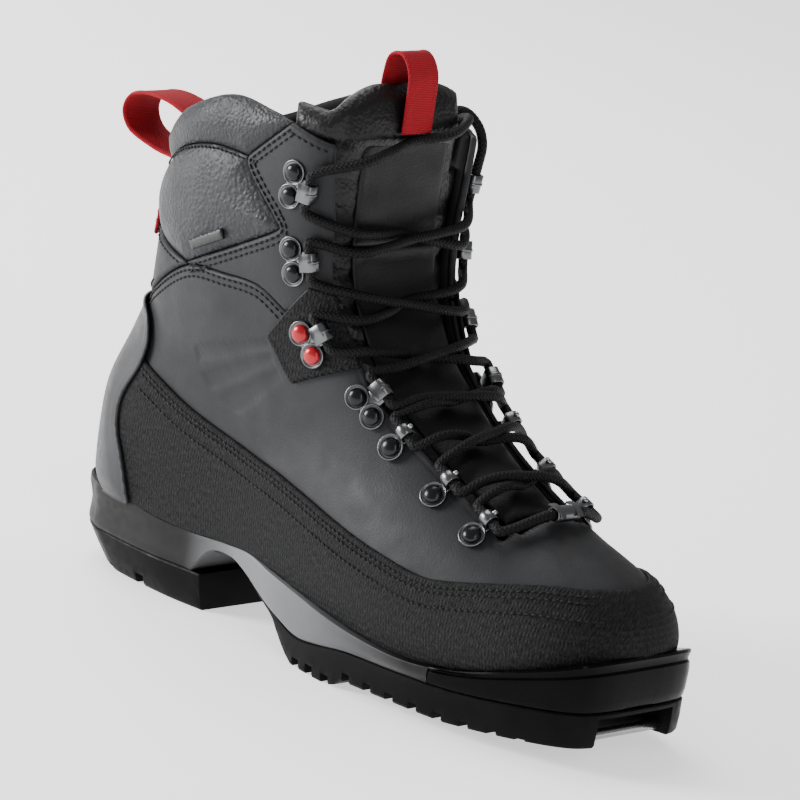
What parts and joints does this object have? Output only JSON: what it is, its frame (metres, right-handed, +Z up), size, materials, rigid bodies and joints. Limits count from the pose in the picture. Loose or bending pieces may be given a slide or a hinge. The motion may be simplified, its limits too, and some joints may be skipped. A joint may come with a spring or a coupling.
{
  "type": "cross country boot",
  "caption": "Ankle-high backcountry cross country ski boot with a hooked lacing front, padded tongue, woven rand, stiff heel counter and a lugged sole with a steel toe bar.",
  "frame": {"origin": "on the ground, on the flat of the heel block, on the boot's mid plane", "axes": "+X to the toe, +Y to the inner side of the foot, +Z up"},
  "size_m": [0.3325, 0.1092, 0.2573],
  "materials": {
    "leather": "smooth waxed nubuck",
    "grained_leather": "pebbled, padded",
    "woven_fabric": "coarse coated weave",
    "counter": "moulded, satin",
    "sole_frame": "moulded, satin grey",
    "bumper": "polished black",
    "sole_rubber": "matt tread rubber",
    "bar_steel": "stainless",
    "gunmetal": "dark plated",
    "red_rivets": "red lacquer",
    "red_webbing": "ribbed webbing",
    "lining": "brushed membrane lining",
    "board": "fibre board",
    "footbed": "felt over foam",
    "lace": "round braid",
    "label": "moulded patch"
  },
  "bodies": {
    "boot": {"body_leather": "leather", "collar_top": "leather", "collar_lateral": "grained_leather", "ankle_panel_lateral": "leather", "strap_panel_lateral": "woven_fabric", "collar_medial": "grained_leather", "ankle_panel_medial": "leather", "strap_panel_medial": "woven_fabric", "side_tag": "red_webbing", "cuff_label": "label", "rand": "woven_fabric", "heel_counter": "counter", "lining": "lining", "insole_board": "board", "tongue_lower": "grained_leather", "tongue_face_lower": "leather", "heel_loop": "red_webbing", "sole_frame": "sole_frame", "toe_bumper": "bumper", "outsole_heel": "sole_rubber", "outsole_forefoot": "sole_rubber", "toe_bar": "bar_steel", "hook_lateral_1": "gunmetal", "hook_rivets_lateral_1": "gunmetal", "hook_lateral_2": "gunmetal", "hook_rivets_lateral_2": "gunmetal", "hook_lateral_3": "gunmetal", "hook_rivets_lateral_3": "red_rivets", "hook_lateral_4": "gunmetal", "hook_rivets_lateral_4": "gunmetal", "eyelet_lateral_1": "gunmetal", "eyelet_rivet_lateral_1": "gunmetal", "eyelet_lateral_2": "gunmetal", "eyelet_rivet_lateral_2": "gunmetal", "eyelet_lateral_3": "gunmetal", "eyelet_rivet_lateral_3": "gunmetal", "hook_medial_1": "gunmetal", "hook_rivets_medial_1": "gunmetal", "hook_medial_2": "gunmetal", "hook_rivets_medial_2": "gunmetal", "hook_medial_3": "gunmetal", "hook_rivets_medial_3": "red_rivets", "hook_medial_4": "gunmetal", "hook_rivets_medial_4": "gunmetal", "eyelet_medial_1": "gunmetal", "eyelet_rivet_medial_1": "gunmetal", "eyelet_medial_2": "gunmetal", "eyelet_rivet_medial_2": "gunmetal", "eyelet_medial_3": "gunmetal", "eyelet_rivet_medial_3": "gunmetal", "lace": "lace"},
    "tongue": {"tongue_upper": "grained_leather", "tongue_face_upper": "leather", "tongue_loop": "red_webbing"},
    "insole": {"footbed": "footbed"},
    "clip": {"gaiter_clip": "gunmetal"}
  },
  "joints": [
    {"name": "tongue_fold", "type": "hinge", "parent": "boot", "child": "tongue", "pos_m": [0.1025, 0, 0.176], "axis": [0, 1, 0], "range_deg": [-12, 0]},
    {"name": "footbed_lift", "type": "hinge", "parent": "boot", "child": "insole", "pos_m": [0.2645, 0, 0.0445], "axis": [0, 1, 0], "range_deg": [0, 4]},
    {"name": "clip_slide", "type": "slide", "parent": "boot", "child": "clip", "axis": [0, 1, 0], "range_m": [-0.002, 0.002]}
  ]
}
